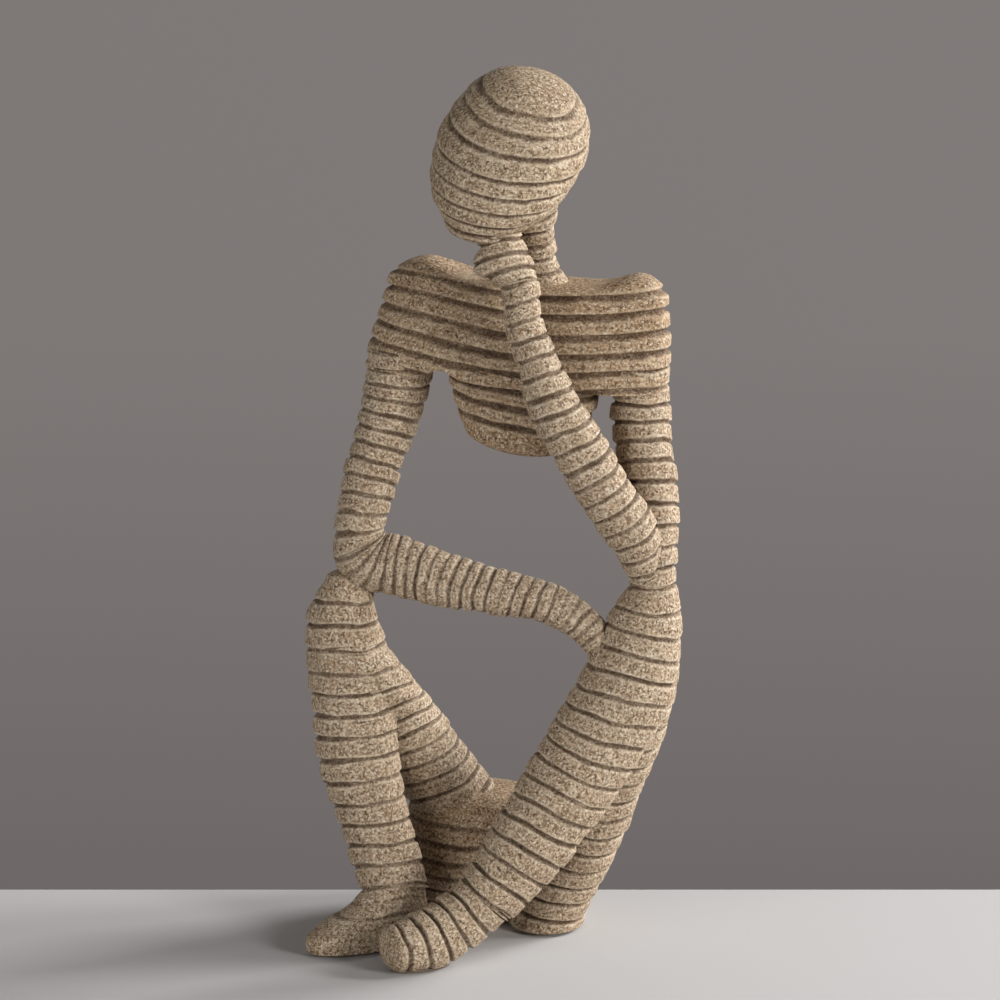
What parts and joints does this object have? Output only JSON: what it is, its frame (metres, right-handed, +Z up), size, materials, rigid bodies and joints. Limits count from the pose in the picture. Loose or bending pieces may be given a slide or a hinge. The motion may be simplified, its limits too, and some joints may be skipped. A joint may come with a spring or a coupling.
{
  "type": "thinker statue",
  "caption": "Seated thinker ornament in sandstone-effect cast resin: a faceless figure of stacked bands, chin on hand, elbows on drawn-up knees, standing on felt pads.",
  "frame": {"origin": "middle of the overall box on the resting plane, under the felt pads", "axes": "+X to the viewer's right as they face the display front, which looks along -Y; +Z up"},
  "size_m": [0.1091, 0.088, 0.2533],
  "materials": {
    "sandstone": "matte, grainy, speckled with dark brown, pale and reddish grains, darker in the grooves",
    "pin_steel": "plain drawn steel",
    "felt": "dark brown pressed felt"
  },
  "bodies": {
    "root": {"head": "sandstone", "neck": "sandstone", "shoulder_yoke": "sandstone", "ribcage": "sandstone", "right_upper_arm": "sandstone", "right_forearm": "sandstone", "right_hand": "sandstone", "left_upper_arm": "sandstone", "left_forearm": "sandstone", "left_hand": "sandstone", "pelvis": "sandstone", "right_thigh": "sandstone", "right_shin": "sandstone", "right_foot": "sandstone", "left_thigh": "sandstone", "left_shin": "sandstone", "left_foot": "sandstone", "dowel_pins": "pin_steel", "right_foot_pad": "felt", "left_foot_pad": "felt", "seat_pad": "felt"}
  },
  "joints": []
}
